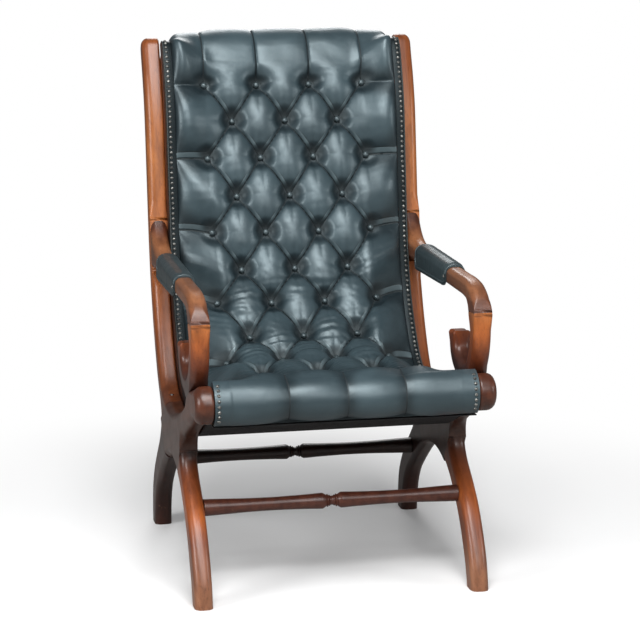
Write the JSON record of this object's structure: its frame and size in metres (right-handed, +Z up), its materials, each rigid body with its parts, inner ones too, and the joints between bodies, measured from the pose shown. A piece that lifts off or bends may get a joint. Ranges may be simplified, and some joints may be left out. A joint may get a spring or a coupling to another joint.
{
  "type": "chesterfield armchair",
  "caption": "Open armchair with curved wooden side frames, hooked scroll arms and a deep-buttoned leather back and seat.",
  "frame": {"origin": "on the floor, under the middle of the chair's overall box", "axes": "+Z up, -Y the way the chair faces, +X to the right as seen from the front"},
  "size_m": [0.5922, 0.7585, 1.0411],
  "materials": {
    "light_wood": "shaded reddish brown, glossy",
    "dark_wood": "dark reddish brown, glossy",
    "frame_wood": "plain hidden beech, unpolished",
    "leather": "dark blue green, satin",
    "webbing": "woven jute",
    "dust_cloth": "black woven cloth",
    "nail_brass": "antiqued, domed",
    "screw_steel": "zinc plated"
  },
  "bodies": {
    "root": {"back_post_left": "light_wood", "back_post_right": "light_wood", "seat_rail_left": "dark_wood", "seat_rail_right": "dark_wood", "front_leg_left": "light_wood", "front_leg_right": "light_wood", "rear_leg_left": "light_wood", "rear_leg_right": "light_wood", "arm_left": "dark_wood", "arm_right": "dark_wood", "arm_scroll_left": "light_wood", "arm_scroll_right": "light_wood", "arm_pad_left": "leather", "arm_pad_right": "leather", "front_stretcher": "dark_wood", "rear_stretcher": "dark_wood", "back_side_board_left": "frame_wood", "back_side_board_right": "frame_wood", "seat_side_board_left": "frame_wood", "seat_side_board_right": "frame_wood", "crest_rail": "frame_wood", "lumbar_rail": "frame_wood", "seat_front_rail": "frame_wood", "frame_dowels": "frame_wood", "board_screws": "screw_steel", "back_webbing": "webbing", "seat_webbing": "webbing", "back_cushion": "leather", "seat_cushion": "leather", "buttons": "leather", "nail_strip_left": "leather", "nail_strip_right": "leather", "nails_left": "nail_brass", "nails_right": "nail_brass", "roll_nails": "nail_brass", "arm_pad_nails": "nail_brass", "back_panel": "leather", "dust_cover": "dust_cloth"}
  },
  "joints": []
}
